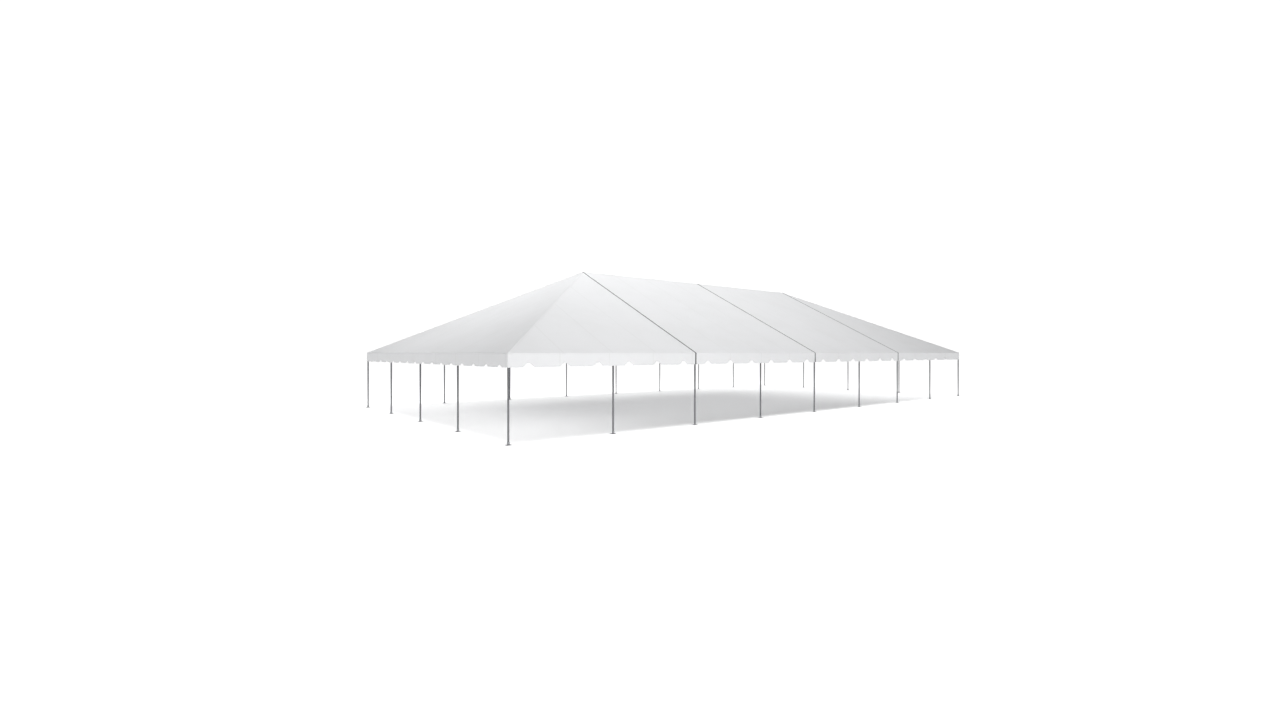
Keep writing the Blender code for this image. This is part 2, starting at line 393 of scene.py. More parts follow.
# a turned solid: profile is a list of (distance along the axis, radius), closed where the radius is 0
def addLathe(start, axis, profile, sides=28, slot=metalSlot):
    axis = axis.normalized()
    side = axis.orthogonal().normalized()
    other = axis.cross(side)
    around = 2 * pi * max(radius for distance, radius in profile) / sides
    rings = []
    for distance, radius in profile:
        centre = start + axis * distance
        first = len(points)
        if radius <= 0:
            points.append(centre)
            numbers = [first] * (sides + 1)
        else:
            for k in range(sides):
                angle = 2 * pi * k / sides
                aside = side * (radius * cos(angle))
                points.append(centre + aside + other * (radius * sin(angle)))
            numbers = [*range(first, first + sides), first]
        rings.append([(number, (k * around, distance)) for k, number in enumerate(numbers)])
    for low, high in zip(rings, rings[1:]):
        for k in range(sides):
            corners = [low[k], low[k + 1], high[k + 1], high[k]]
            if low[0][0] == low[1][0]:
                del corners[1]
            elif high[0][0] == high[1][0]:
                del corners[2]
            addFace(corners, slot)


# (further along, further out) steps, set out from one place of a profile
def setOut(steps, distance, radius):
    return [(distance + along, radius + out) for along, out in steps]


# a closed bar whose two ends have the same rim
def barProfile(length, radius, rim, middle=()):
    far = [(length - along, radius + out) for along, out in reversed(rim)]
    return [(0, 0), *setOut(rim, 0, radius), *middle, *far, (length, 0)]


def tubeProfile(length, radius, edge):
    return barProfile(length, radius, ((0, -edge), (edge * 0.3, -edge * 0.3), (edge, 0)))


lockingPin = {
    "standOut": 0.012,      # past the fitting, at both ends
    "head": ((0, 0), (0, 0.0065), (0.001, 0.0078), (0.005, 0.0078), (0.006, 0.0045)),
    "tip": ((-0.002, 0.0045), (0, 0.003), (0, 0)),
    "ring": 0.014,
    "wire": 0.0013,
}


# the wire pull ring on a pin
def addRing(centre, normal, steps=20, sides=7):
    radius, wire = lockingPin["ring"], lockingPin["wire"]
    side = normal.orthogonal().normalized()
    other = normal.cross(side)
    rows = []
    for k in range(steps + 1):
        angle = 2 * pi * k / steps
        bend = angle if k < steps else 0.0      # the last row lies on the first
        outward = side * cos(bend) + other * sin(bend)
        rows.append([])
        for m in range(sides):
            turn = 2 * pi * m / sides
            point = centre + outward * (radius + wire * cos(turn)) + normal * (wire * sin(turn))
            rows[-1].append((point, (wire * turn, radius * angle)))
    addRibbon(rows, metalSlot, closed=True)


# a pin pushed through a fitting, with a head at one end and a pull ring at the other
def addPin(point, direction, reach, ringFromTip=0.006, ringDrop=0.013):
    direction = direction.normalized()
    length = 2 * reach + 2 * lockingPin["standOut"]
    profile = [*lockingPin["head"], *setOut(lockingPin["tip"], length, 0)]
    addLathe(point - direction * (length / 2), direction, profile, sides=14)
    ringPlace = point + direction * (length / 2 - ringFromTip) + down * ringDrop
    addRing(ringPlace, direction.orthogonal().normalized())


def finishPiece(name, materials, sharp=34):
    mesh = bpy.data.meshes.new(name)
    mesh.from_pydata([tuple(point) for point in points], [], faces)
    mesh.uv_layers.new(name="metres").data.foreach_set("uv", metres)
    for material in materials:
        mesh.materials.append(material)
    mesh.polygons.foreach_set("material_index", slots)
    mesh.shade_smooth()
    mesh.set_sharp_from_angle(angle=radians(sharp))
    mesh.update()
    for part in (points, faces, metres, slots):
        part.clear()
    return placeObject(name, mesh)


def placeObject(name, data):
    obj = bpy.data.objects.new(name, data)
    bpy.context.scene.collection.objects.link(obj)
    return obj


def seatPiece(obj, node):
    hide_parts(node)
    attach(obj, "root")


# the four roof slopes: where each starts, which way it runs along the eave, which way is inward, its length
slopes = {
    "front": (at(-wallX, -wallY, 0), alongX, alongY, 2 * wallX),
    "right": (at(wallX, -wallY, 0), alongY, -alongX, 2 * wallY),
    "back": (at(wallX, wallY, 0), -alongX, -alongY, 2 * wallX),
    "left": (at(-wallX, wallY, 0), -alongY, alongX, 2 * wallY),
}

canopy = {
    "steps": 64,            # grid steps from eave to ridge
    "foldRadius": 0.010,    # how softly the cloth turns at the eave
    "skirt": 0.034,         # cloth below the fold, behind the top of the valance
    "thickness": 0.0012,
    "sharp": 40,            # degrees from which an edge of the cloth shows as crisp
    "seamGap": 0.001,
    "join": 0.00005,        # points nearer than this become one
    "sagMiddle": 0.016,     # between two rafters
    "sagHip": 0.013,        # beside a hip
    "sagCorner": 0.008,     # in the small triangle at a corner
}
gridStep = wallY / canopy["steps"]
sideScallop = {"pitch": bay / 3, "notchWidth": 0.34, "notchHeight": 0.10}    # along the front and back
endScallop = {"pitch": bay / 4, "notchWidth": 0.26, "notchHeight": 0.055}    # across the two ends


# 27 and 0.14 bring the fullest place of a corner and of a hip's bay to about 1
def sagAt(along, inward, length):
    across = (along - clothOffset) / bay
    up = (inward - clothOffset) / bay
    bays = (length - 2 * clothOffset) / bay
    across = min(across, bays - across)
    if up <= 0 or across <= up:
        return 0.0
    if across < 1:
        return canopy["sagCorner"] * 27 * (across - up) * (1 - across) * up
    if across < 2:
        return canopy["sagHip"] * (across - 1) * (2 - across) * up * (across - up) / 0.14
    part = across - floor(across)
    return max(0.0, canopy["sagMiddle"] * 4 * part * (1 - part) * up * (2 - up))


# the fold at the eave: how far down it starts, and (angle, inward, height) of the rows round it
def eaveFold(steps=5):
    radius = canopy["foldRadius"]
    reach = radius / tan((pi / 2 + slope) / 2)
    rows = []
    for k in range(1, steps + 1):
        angle = (pi / 2 - slope) * k / steps
        rows.append((angle, radius * (1 - cos(angle)), eaveTop - reach + radius * sin(angle)))
    return reach, rows


# one slope of one section; an end section's slopes stop at the hips
def addSlope(side, start, step, columns, hipLeft=False, hipRight=False):
    origin, along, across, length = slopes[side]
    drop, fold = eaveFold()
    levels = [(0.0, eaveTop - canopy["skirt"], -canopy["skirt"]), (0.0, eaveTop - drop, -drop)]
    levels += [(inward, height, -drop + canopy["foldRadius"] * angle) for angle, inward, height in fold]
    levels += [(k * gridStep, None, k * gridStep / cos(slope)) for k in range(1, canopy["steps"] + 1)]
    rows = []
    for reach, height, distance in levels:
        skip = int(reach / gridStep + 0.0001)       # the small share takes up rounding
        first = skip if hipLeft else 0
        last = columns - skip if hipRight else columns
        row = {}
        for m in range(first, last + 1):
            place = start + m * step
            if hipLeft and m == first:
                place = reach
            if hipRight and m == last:
                place = length - reach
            z = height if height is not None else eaveTop + reach * slopeTan - sagAt(place, reach, length)
            row[m] = (len(points), (place, distance))
            points.append(origin + along * place + across * reach + skyward * z)
        rows.append((first, last, row))
    for (lowFirst, lowLast, low), (first, last, high) in zip(rows, rows[1:]):
        if first > lowFirst:
            addFace([low[lowFirst], low[lowFirst + 1], high[first]])
        for m in range(first, last):
            addFace([low[m], low[m + 1], high[m + 1], high[m]])
        if last < lowLast:
            addFace([low[lowLast - 1], low[lowLast], high[last]])


# how far the hem rises above the lowest line, at a distance along a side of a section
def hemRise(distance, length, scallop):
    if distance <= 0 or distance >= length:
        return 0.0
    middle = (floor(distance / scallop["pitch"]) + 0.5) * scallop["pitch"]
    part = (distance - middle) / (scallop["notchWidth"] / 2)
    if abs(part) >= 1:
        return 0.0
    return scallop["notchHeight"] * (1 + cos(pi * part)) / 2


valance = {
    "topDrop": 0.016,       # where it is sewn on, below the eave
    "rows": 7,
    "columnWidth": 0.0212,  # grid steps along it
    "ripple": 0.006,
    "waves": ((1.0, 8.3, 0.0), (0.6, 13.7, 1.3), (0.5, 3.1, 0.4)),      # height, radians to a metre, shift
    "calm": (0.06, 0.3),    # beside a joint: how long it is still, and over what length the ripple grows
    "piping": (0.0105, 0.0036),     # half its height, and how far it stands out
}


# stations round a section's eave: (place in plan, outward normal, hem rise, distance run)
def eavePath(corners, sides, radius=0.012, cornerSteps=5):
    stations = []
    run = 0.0
    for k, (hemStart, hemLength, scallop) in enumerate(sides):
        start, end = corners[k], corners[k + 1]
        along = (end - start).normalized()
        outward = at(along.y, -along.x)
        width = (end - start).length
        low = radius if k > 0 else 0.0
        high = width - radius if k < len(sides) - 1 else width
        count = max(2, round((high - low) / valance["columnWidth"]))
        for m in range(count + 1):
            place = low + (high - low) * m / count
            rise = hemRise(place - hemStart, hemLength, scallop)
            stations.append((start + along * place, outward, rise, run + place))
        if k < len(sides) - 1:
            turnTo = (corners[k + 2] - end).normalized()
            centre = end - along * radius + turnTo * radius
            for m in range(1, cornerSteps):
                angle = pi / 2 * m / cornerSteps
                direction = outward * cos(angle) + along * sin(angle)
                stations.append((centre + direction * radius, direction, 0.0, run + width))
        run += width
    return stations


def rippleAt(distance, total, fall, lean=0.5, swing=0.22, growth=1.3):
    still, rising = valance["calm"]
    calm = min(1.0, max(0.0, (min(distance, total - distance) - still) / rising))
    wave = sum(height * sin(distance * rate + shift) for height, rate, shift in valance["waves"])
    return valance["ripple"] * calm * fall ** growth * (lean + swing * wave)


def addValance(corners, sides, standOff=0.0016):
    stations = eavePath(corners, sides)
    total = stations[-1][3]
    top = eaveTop - valance["topDrop"]
    rows = []
    for k in range(valance["rows"] + 1):
        fall = 1 - k / valance["rows"]
        rows.append([])
        for place, outward, rise, distance in stations:
            height = top - (top - (hemLow + rise)) * fall
            out = standOff + rippleAt(distance, total, (top - height) / (top - hemLow))
            rows[-1].append((place + outward * out + skyward * height, (distance, height - eaveTop)))
    addRibbon(rows)
    addHem(stations, total, top)
    addPiping(stations)


# the binding's section: height above the edge, how far out, distance round it
hemProfile = ((0.020, 0.0026, 0.0), (0.018, 0.0032, 0.002), (0.002, 0.0032, 0.018), (-0.0004, 0.0016, 0.0205),
              (0.0, 0.0, 0.022), (0.002, -0.0012, 0.024), (0.018, -0.0012, 0.040), (0.020, -0.0006, 0.042))


# bound edge that follows the scallops, folded over both faces
def addHem(stations, total, top):
    lines = []
    for k, (place, outward, rise, distance) in enumerate(stations):
        before = stations[max(0, k - 1)]
        after = stations[min(len(stations) - 1, k + 1)]
        tilt = (after[2] - before[2]) / max(0.001, after[3] - before[3])
        up = skyward * (1 / hypot(1, tilt))
        along = (after[0] - before[0]).normalized() * (-tilt / hypot(1, tilt))
        base = place + skyward * (hemLow + rise)
        line = []
        for above, out, folded in hemProfile:
            fall = (top - (base.z + above)) / (top - hemLow)
            point = base + (up + along) * above + outward * (out + rippleAt(distance, total, fall))
            line.append((point, (distance, hemRun - folded)))
        lines.append(line)
    addRibbon(list(zip(*lines))[::-1])


# corded seam where the valance is sewn on, blended into the cloth above and below it
def addPiping(stations, drop=0.017, lowOut=0.0024, highOut=0.0003, steps=12):
    half, height = valance["piping"]
    rows = []
    for k in range(steps + 1):
        part = k / steps
        out = lowOut + (highOut - lowOut) * part + height * sin(pi * part) ** 2
        z = eaveTop - drop + half * (2 * part - 1)
        rows.append([(place + outward * out + skyward * z, (distance, -valance["topDrop"] + 0.001 * k))
                     for place, outward, rise, distance in stations])
    addRibbon(rows)


def roofTop(point):
    return eaveTop + slopeTan * min(wallX - abs(point.x), wallY - abs(point.y))


# half of the section of the ridge and hip tapes: (from the crease, how high)
tapeHalf = ((0.0, 0.0002), (0.005, 0.0010), (0.012, 0.0016), (0.031, 0.0016), (0.034, 0.0002))


# a folded tape along a crease of the roof, which it bridges, from one plan point to another
def addTape(start, end, step=0.12, bridge=0.006, bridgeLift=0.0006):
    length = (end - start).length
    along = (end - start).normalized()
    side = at(along.y, -along.x)
    section = [(-offset, lift) for offset, lift in reversed(tapeHalf[1:])] + list(tapeHalf)
    count = max(8, round(length / step))
    columns = []
    for k in range(count + 1):
        centre = start.lerp(end, k / count)
        columns.append([])
        for offset, lift in section:
            point = centre + side * offset
            height = roofTop(point)
            if abs(offset) < bridge:
                height = roofTop(centre + side * bridge) + bridgeLift
            point.z = height + lift / cos(slope)
            columns[-1].append((point, (offset + vinylLooks["tapeMiddle"], length * k / count)))
    addRibbon(list(zip(*columns)))


# gives a sheet its thickness inwards, as plain mesh, with crisp cut edges
def thicken(obj, thickness, sharp):
    solid = obj.modifiers.new("clothThickness", "SOLIDIFY")
    solid.thickness = thickness
    solid.offset = -1
    solid.use_even_offset = True
    thin = obj.data
    obj.data = bpy.data.meshes.new_from_object(obj.evaluated_get(bpy.context.evaluated_depsgraph_get()))
    obj.modifiers.clear()
    bpy.data.meshes.remove(thin)
    obj.data.name = obj.name
    obj.data.shade_smooth()
    obj.data.set_sharp_from_angle(angle=radians(sharp))


def canopyPiece(node):
    mesh = bmesh.new()
    obj = finishPiece(node + "_cloth", [whiteVinyl], canopy["sharp"])
    mesh.from_mesh(obj.data)
    bmesh.ops.remove_doubles(mesh, verts=mesh.verts, dist=canopy["join"])
    mesh.to_mesh(obj.data)
    mesh.free()
    thicken(obj, canopy["thickness"], canopy["sharp"])
    seatPiece(obj, node)
    return obj


def middleSection(node, xStart, xEnd):
    columns = canopy["steps"]
    step = (xEnd - xStart) / columns
    addSlope("front", xStart + wallX, step, columns)
    addSlope("back", wallX - xEnd, step, columns)
    addValance([at(xStart, -wallY), at(xEnd, -wallY)], [(0, crownX, sideScallop)])
    addValance([at(xEnd, wallY), at(xStart, wallY)], [(0, crownX, sideScallop)])
    addTape(at(xStart, 0), at(xEnd, 0))
    return canopyPiece(node)


def endSection(node, sign):
    columns = canopy["steps"]
    for side, hipLeft, hipRight, count in (("front", sign < 0, sign > 0, columns),
                                           ("left" if sign < 0 else "right", True, True, 2 * columns),
                                           ("back", sign > 0, sign < 0, columns)):
        addSlope(side, 0 if hipLeft else 2 * wallX - wallY, gridStep, count, hipLeft, hipRight)
    corners = [at(sign * crownX, -sign * wallY), at(sign * wallX, -sign * wallY),
               at(sign * wallX, sign * wallY), at(sign * crownX, sign * wallY)]
    addValance(corners, [(0, crownX, sideScallop), (clothOffset, 2 * halfDepth, endScallop),
                         (clothOffset, crownX, sideScallop)])
    inset = 0.012       # of a hip tape's end from the corner
    for side in (-1, 1):
        addTape(at(sign * (wallX - inset), side * (wallY - inset)), at(sign * crownX, 0))
    return canopyPiece(node)


seamGap = canopy["seamGap"]
leftCloth = endSection("canopy_left_end", -1)
middleLeftCloth = middleSection("canopy_middle_left", -crownX + seamGap, -seamGap / 2)
middleRightCloth = middleSection("canopy_middle_right", seamGap / 2, crownX - seamGap)
rightCloth = endSection("canopy_right_end", 1)
print("frame tent: canopy sections made")


lacingFlap = {
    "width": 0.050,
    "thickness": 0.0022,
    "sharp": 50,
    "crown": 0.0022,        # how far its middle stands above its edges
    "loopPitch": 0.152,     # lacing loops underneath lift it a little
    "loopLift": 0.0010,
    "drift": (0.0015, 1.9),     # how far it strays, and radians to a metre
    "across": (-1.0, -0.92, -0.80, -0.66, -0.35, 0.0, 0.35, 0.66, 0.80, 0.92, 1.0),
    # over the valance: (height above the hem, how far out)
    "wallLine": ((0.0, 0.0034), (0.006, 0.0040), (0.020, 0.0040), (0.030, 0.0024), (0.065, 0.0022),
                 (0.115, 0.0022), (0.165, 0.0022), (0.215, 0.0022), (0.262, 0.0022), (0.310, 0.0026),
                 (0.3195, 0.0046), (0.3280, 0.0064), (0.3360, 0.0036)),
    # over the ridge tape: (from the ridge, above the cloth)
    "ridgeLine": ((0.036, 0.0030), (0.012, 0.0034), (0.0, 0.0018)),
}


# the cloth's profile from the front hem to the ridge: (y, z, outward y, outward z)
def clothProfile(gap=0.001, steps=56, fromEave=0.02, fromRidge=0.05):
    leanY, leanZ = -sin(slope), cos(slope)
    line = [(-wallY - out, hemLow + above, -1.0, 0.0) for above, out in lacingFlap["wallLine"]]
    for angle, inward, height in eaveFold()[1]:
        line.append((-wallY + inward - gap * cos(angle), height + gap * sin(angle), -cos(angle), sin(angle)))
    for k in range(1, steps + 1):
        inward = fromEave + (wallY - fromRidge - fromEave) * k / steps
        line.append((-wallY + inward + gap * leanY, eaveTop + inward * slopeTan + gap * leanZ, leanY, leanZ))
    leans = ((leanY, leanZ), (leanY / 2, leanZ), (0.0, 1.0))
    for (away, above), lean in zip(lacingFlap["ridgeLine"], leans):
        line.append((-away, ridgeTop - away * slopeTan + above, *lean))
    return line


def makeFlap(node, x, edgeLift=0.0012, tip=0.010, narrowing=0.22, groove=0.0006):
    half = lacingFlap["width"] / 2
    stray, rate = lacingFlap["drift"]
    front = clothProfile()
    line = front + [(-y, z, -outY, outZ) for y, z, outY, outZ in reversed(front[:-1])]
    runs = [0.0]
    for before, after in zip(line, line[1:]):
        runs.append(runs[-1] + hypot(after[0] - before[0], after[1] - before[1]))
    columns = []
    for (y, z, outY, outZ), run in zip(line, runs):
        fromTip = min(run, runs[-1] - run)
        narrow = 1.0 - narrowing * max(0.0, 1 - fromTip / tip) ** 2
        loop = sin(pi * run / lacingFlap["loopPitch"]) ** 2
        drift = stray * sin(run * rate) * min(1.0, fromTip)
        columns.append([])
        for part in lacingFlap["across"]:
            lift = edgeLift + (lacingFlap["crown"] + lacingFlap["loopLift"] * loop) * (1 - part * part)
            if abs(part) == 0.80:       # sewn down here
                lift -= groove
            point = at(x + drift + part * half * narrow, y + outY * lift, z + outZ * lift)
            columns[-1].append((point, (part * half, run)))
    addRibbon(columns)
    obj = finishPiece(node + "_webbing", [flapWebbing], lacingFlap["sharp"])
    thicken(obj, lacingFlap["thickness"], lacingFlap["sharp"])
    seatPiece(obj, node)


makeFlap("lacing_flap_left", -crownX)
makeFlap("lacing_flap_middle", 0.0)
makeFlap("lacing_flap_right", crownX)
print("frame tent: lacing flaps made")


footing = {
    "plateSide": 0.152,
    "plateThickness": 0.0064,
    "plateCorner": 0.014,
    "holeRadius": 0.0085,
    "holePlace": 0.056,
    "collarHeight": 0.07,
    "pinHeight": 0.045,
    "boltHeight": 0.024,
    # steps of (further up, further out) from the plate, from the collar's top and from the tube
    "weld": ((0, 0.0065), (0.0015, 0.0060), (0.0040, 0.0030), (0.0065, 0)),
    "rim": ((-0.0016, 0), (-0.0004, -0.0012), (0, -0.0028)),
    "mouth": ((-0.0010, 0.0012), (-0.0030, 0.0002)),
}
# profiles of the small heads, and how far they are let into round steel
boltWasher = ((0, 0), (0, 0.0095), (0.0015, 0.0095), (0.0017, 0.0090), (0.0017, 0))
boltHead = ((0, 0), (0, 0.0072), (0.0046, 0.0072), (0.0054, 0.0062), (0.0054, 0))
buttonHead = ((0, 0), (0, 0.0058), (0.0022, 0.0052), (0.0036, 0.0032), (0.0040, 0))
boltSunk, buttonSunk = 0.0006, 0.0012


def roundedSquare(side, corner, steps=5):
    loop = []
    for k, (sx, sy) in enumerate(((1, -1), (1, 1), (-1, 1), (-1, -1))):
        for m in range(steps + 1):
            angle = pi / 2 * (k - 1 + m / steps)
            loop.append((sx * (side / 2 - corner) + corner * cos(angle),
                         sy * (side / 2 - corner) + corner * sin(angle)))
    return loop


# a flat plate with round holes, lying on z = 0
def addPlate(outline, holes, thickness, sides=16, edgeRun=0.01):
    loops = [outline]
    for x, y, radius in holes:
        turns = [-2 * pi * k / sides for k in range(sides)]
        loops.append([(x + radius * cos(turn), y + radius * sin(turn)) for turn in turns])
    flat = [at(x, y) for loop in loops for x, y in loop]
    base = len(points)
    top = base + len(flat)
    for level in (0.0, thickness):
        points.extend([point + skyward * level for point in flat])
    for a, b, c in tessellate_polygon([[at(x, y) for x, y in loop] for loop in loops]):
        if (flat[b] - flat[a]).cross(flat[c] - flat[a]).z < 0:
            b, c = c, b
        addFace([(top + k, flat[k].xy) for k in (a, b, c)], metalSlot)
        addFace([(base + k, flat[k].xy) for k in (a, c, b)], metalSlot)
    first = 0
    for loop in loops:
        for k in range(len(loop)):
            here, after = first + k, first + (k + 1) % len(loop)
            run, ahead = edgeRun * k, edgeRun * (k + 1)
            addFace([(base + here, (run, 0)), (base + after, (ahead, 0)),
                     (top + after, (ahead, thickness)), (top + here, (run, thickness))], metalSlot)
        first += len(loop)


def addBolt(point, direction):
    direction = direction.normalized()
    addLathe(point, direction, boltWasher, sides=16)
    addLathe(point + direction * boltWasher[-1][0], direction, boltHead, sides=6)


legStrap = {
    "width": 0.026,
    "thick": 0.0016,
    "fromTop": 0.055,       # the loop's place below the leg's top
    # (out, up): the bolt and the start from the socket above, then the run down over the buckle
    "bolt": (0.0030, 0.122),
    "start": (0.0035, 0.135),
    "line": ((0.0030, 0.100), (0.0040, 0.030), (0.0070, 0.012), (0.0060, -0.012), (0.0085, -0.040),
             (0.0075, -0.066)),
    "bars": ((0.014, 0.0042), (-0.014, 0.0034)),        # (up, radius) of the buckle's two bars
    "cheek": (0.014, 0.0024),       # width and thickness
    "tongue": (0.030, 0.0016),
    "tongueLine": ((0.013, 0.012), (0.016, 0.0), (0.0145, -0.022)),
}


# a flat band along a line of points, its width along one direction
def addBand(line, across, width, thick, slot):
    aside = across * (width / 2)
    rows, run = [], 0.0
    for k, point in enumerate(line):
        before, after = line[max(0, k - 1)], line[min(len(line) - 1, k + 1)]
        if k:
            run += (point - before).length
        lift = across.cross((after - before).normalized()).normalized() * (thick / 2)
        rows.append([(point - aside - lift, (-width / 2, run)), (point + aside - lift, (width / 2, run)),
                     (point + aside + lift, (width / 2 + thick, run)),
                     (point - aside + lift, (-width / 2 - thick, run))])
    base = len(points)
    addRibbon(rows, slot, closed=True)
    last = len(points) - 4
    ends = ((0, 0), (width, 0), (width, thick), (0, thick))
    addFace(list(zip(range(base + 3, base - 1, -1), ends)), slot)
    addFace(list(zip(range(last, last + 4), ends)), slot)


# round webbing loop on a leg, with its buckle and the ends that leave it; inward is +Y
def addLegStrap(radius, height, slack=0.0004, standOff=0.002, barHalf=0.019, barOut=0.006, barEdge=0.001,
                cheekHalf=0.018, cheekPlace=0.0175, cheekOut=0.002, steps=28):
    def place(out, up, x=0.0, base=radius + standOff):
        return at(x, base + out, height + up)

    width, thick = legStrap["width"], legStrap["thick"]
    turns = [2 * pi * k / steps for k in range(steps)]
    rows = []
    for out, up in ((0.0, -width / 2), (thick, -width / 2), (thick, width / 2), (0.0, width / 2)):
        ring = radius + slack + out
        rows.append([(at(ring * cos(turn), ring * sin(turn), height + up), (up + out, radius * turn))
                     for turn in turns])
    addRibbon(rows, strapSlot, closed=True)
    start = place(*legStrap["start"], base=tent["socketRadius"])
    addBand([start, *[place(*pair) for pair in legStrap["line"]]], alongX, width, thick, strapSlot)
    addBolt(place(*legStrap["bolt"], base=tent["socketRadius"]), alongY)
    for up, barRadius in legStrap["bars"]:
        addLathe(place(barOut, up, -barHalf), alongX, tubeProfile(2 * barHalf, barRadius, barEdge), sides=10)
    for x in (-cheekPlace, cheekPlace):
        cheekLine = [place(cheekOut, up, x) for up in (cheekHalf, -cheekHalf)]
        addBand(cheekLine, alongY, *legStrap["cheek"], metalSlot)
    addBand([place(*pair) for pair in legStrap["tongueLine"]], alongX, *legStrap["tongue"], metalSlot)


def addLeg(sides=32, mouthDepth=0.0032, tubeStart=0.004, edge=0.0006):
    place, low = footing["holePlace"], footing["plateThickness"]
    holes = [(x, y, footing["holeRadius"]) for x in (-place, place) for y in (-place, place)]
    addPlate(roundedSquare(footing["plateSide"], footing["plateCorner"]), holes, low)
    top = railZ - tent["socketLength"] - tent["seat"]
    high = low + footing["collarHeight"]
    tube, collar = tent["tubeRadius"], tent["sleeveRadius"]
    profile = [(low, 0), *setOut(footing["weld"], low, collar), *setOut(footing["rim"], high, collar),
               *setOut(footing["mouth"], high, tube), (high - mouthDepth, 0)]
    addLathe(at(0, 0), skyward, profile, sides)
    bottom = high - tubeStart
    addLathe(skyward * bottom, skyward, tubeProfile(top - bottom, tube, edge), sides, tubeSlot)
    addPin(skyward * (low + footing["pinHeight"]), alongX, collar)
    for sign in (1, -1):
        addBolt(at(0, sign * (collar - boltSunk), low + footing["boltHeight"]), alongY * sign)
    addLegStrap(tube, top - legStrap["fromTop"])


# one mesh serves all the legs
addLeg()
legModel = finishPiece("leg_model", [legAluminium, zincSteel, strapWebbing])
legMesh = legModel.data
bpy.data.objects.remove(legModel)


def makeLeg(node, x, y, turn):
    obj = placeObject(node + "_tube", legMesh)
    obj.location = (x, y, 0)
    obj.rotation_euler = (0, 0, radians(turn))
    seatPiece(obj, node)


for k in range(tent["baysLong"] + 1):
    makeLeg("leg_front_%d" % (k + 1), -halfLength + k * bay, -halfDepth, 0)
    makeLeg("leg_back_%d" % (k + 1), -halfLength + k * bay, halfDepth, 180)
for k in range(1, tent["baysDeep"]):
    makeLeg("leg_left_%d" % k, -halfLength, -halfDepth + k * bay, -90)
    makeLeg("leg_right_%d" % k, halfLength, -halfDepth + k * bay, 90)
print("frame tent: legs made")


fitting = {
    # how far from a fitting's middle a socket's weld lies
    "onBall": 0.030,        # on a ball, and under the sleeves of the long rails
    "onSleeve": 0.031,      # on the other sleeves, and for the common rafters at the ridge
    "onHip": 0.044,         # on a hip's sleeve, which it meets at a slant
    "ballRadius": 0.0308,
    "pinFromMouth": 0.045,
    "boltFromEnd": 0.03,
    # steps of (further along, further out) at a socket's root and mouth and at a sleeve's two ends
    "weld": ((-0.002, 0), (0, 0.0030), (0.0030, 0.0036), (0.0065, 0.0018), (0.0085, 0)),
    "lip": ((-0.010, 0), (-0.0085, 0.0012), (-0.0012, 0.0012), (0, 0)),
    "sleeveRim": ((0, -0.0024), (0.0006, -0.0008), (0.0020, 0)),
}


def mirrored(vector, signX, signY):
    return at(vector.x * signX, vector.y * signY, vector.z)


# a fitting's socket: welded at its root, lipped at its mouth, and pinned where a direction is given
def addSocket(point, direction, pinAlong=None, root=fitting["onBall"], neck=0.001):
    radius, length = tent["socketRadius"], tent["socketLength"]
    profile = [(root / 2, 0), (root / 2, radius - neck), *setOut(fitting["weld"], root, radius),
               *setOut(fitting["lip"], length, radius), (length, 0)]
    addLathe(point, direction, profile)
    if pinAlong is not None:
        addPin(point + direction * (length - fitting["pinFromMouth"]), pinAlong, radius)


def addSleeve(point, direction, boltAlong, reach=tent["sleeveHalf"]):
    radius = tent["sleeveRadius"]
    addLathe(point - direction * reach, direction, barProfile(2 * reach, radius, fitting["sleeveRim"]))
    for place in (fitting["boltFromEnd"] - reach, reach - fitting["boltFromEnd"]):
        for out in (-boltAlong, boltAlong):
            addBolt(point + direction * place + out * (radius - boltSunk), out)


def addBall(point, steps=12):
    radius = fitting["ballRadius"]
    turns = [pi * k / steps for k in range(1, steps)]
    profile = [(0, 0), *[(radius * (1 - cos(turn)), radius * sin(turn)) for turn in turns], (2 * radius, 0)]
    addLathe(point - skyward * radius, skyward, profile, 2 * steps)


# a bar that runs through its own fittings from end to end
def addLongTube(start, end, edge=0.0012):
    profile = tubeProfile((end - start).length, tent["tubeRadius"], edge)
    addLathe(start, end - start, profile, slot=tubeSlot)


# a tube that seats in a socket at each end, with or without a riveted splice at its middle
def addSeatedTube(start, end, splice=True, rim=0.0010, groove=0.0014, buttonPlace=0.05,
                  rivets=(-0.09, -0.03, 0.03, 0.09)):
    direction = (end - start).normalized()
    reach = direction * (tent["socketLength"] + tent["seat"])
    low, high = start + reach, end - reach
    length = (high - low).length
    radius = tent["tubeRadius"]
    heads, middle = [buttonPlace, length - buttonPlace], []
    if splice:
        middle = setOut(((-groove, 0), (0, -groove), (groove, 0)), length / 2, radius)
        heads += [length / 2 + place for place in rivets]
    profile = barProfile(length, radius, ((0, -rim), (rim, 0)), middle)
    addLathe(low, direction, profile, slot=tubeSlot)
    side = direction.cross(skyward).normalized()
    for place in heads:
        for out in (-side, side):
            addLathe(low + direction * place + out * (radius - buttonSunk), out, buttonHead, sides=12)


def makeFramePiece(node):
    obj = finishPiece(node + "_tube", [frameAluminium, zincSteel])
    seatPiece(obj, node)


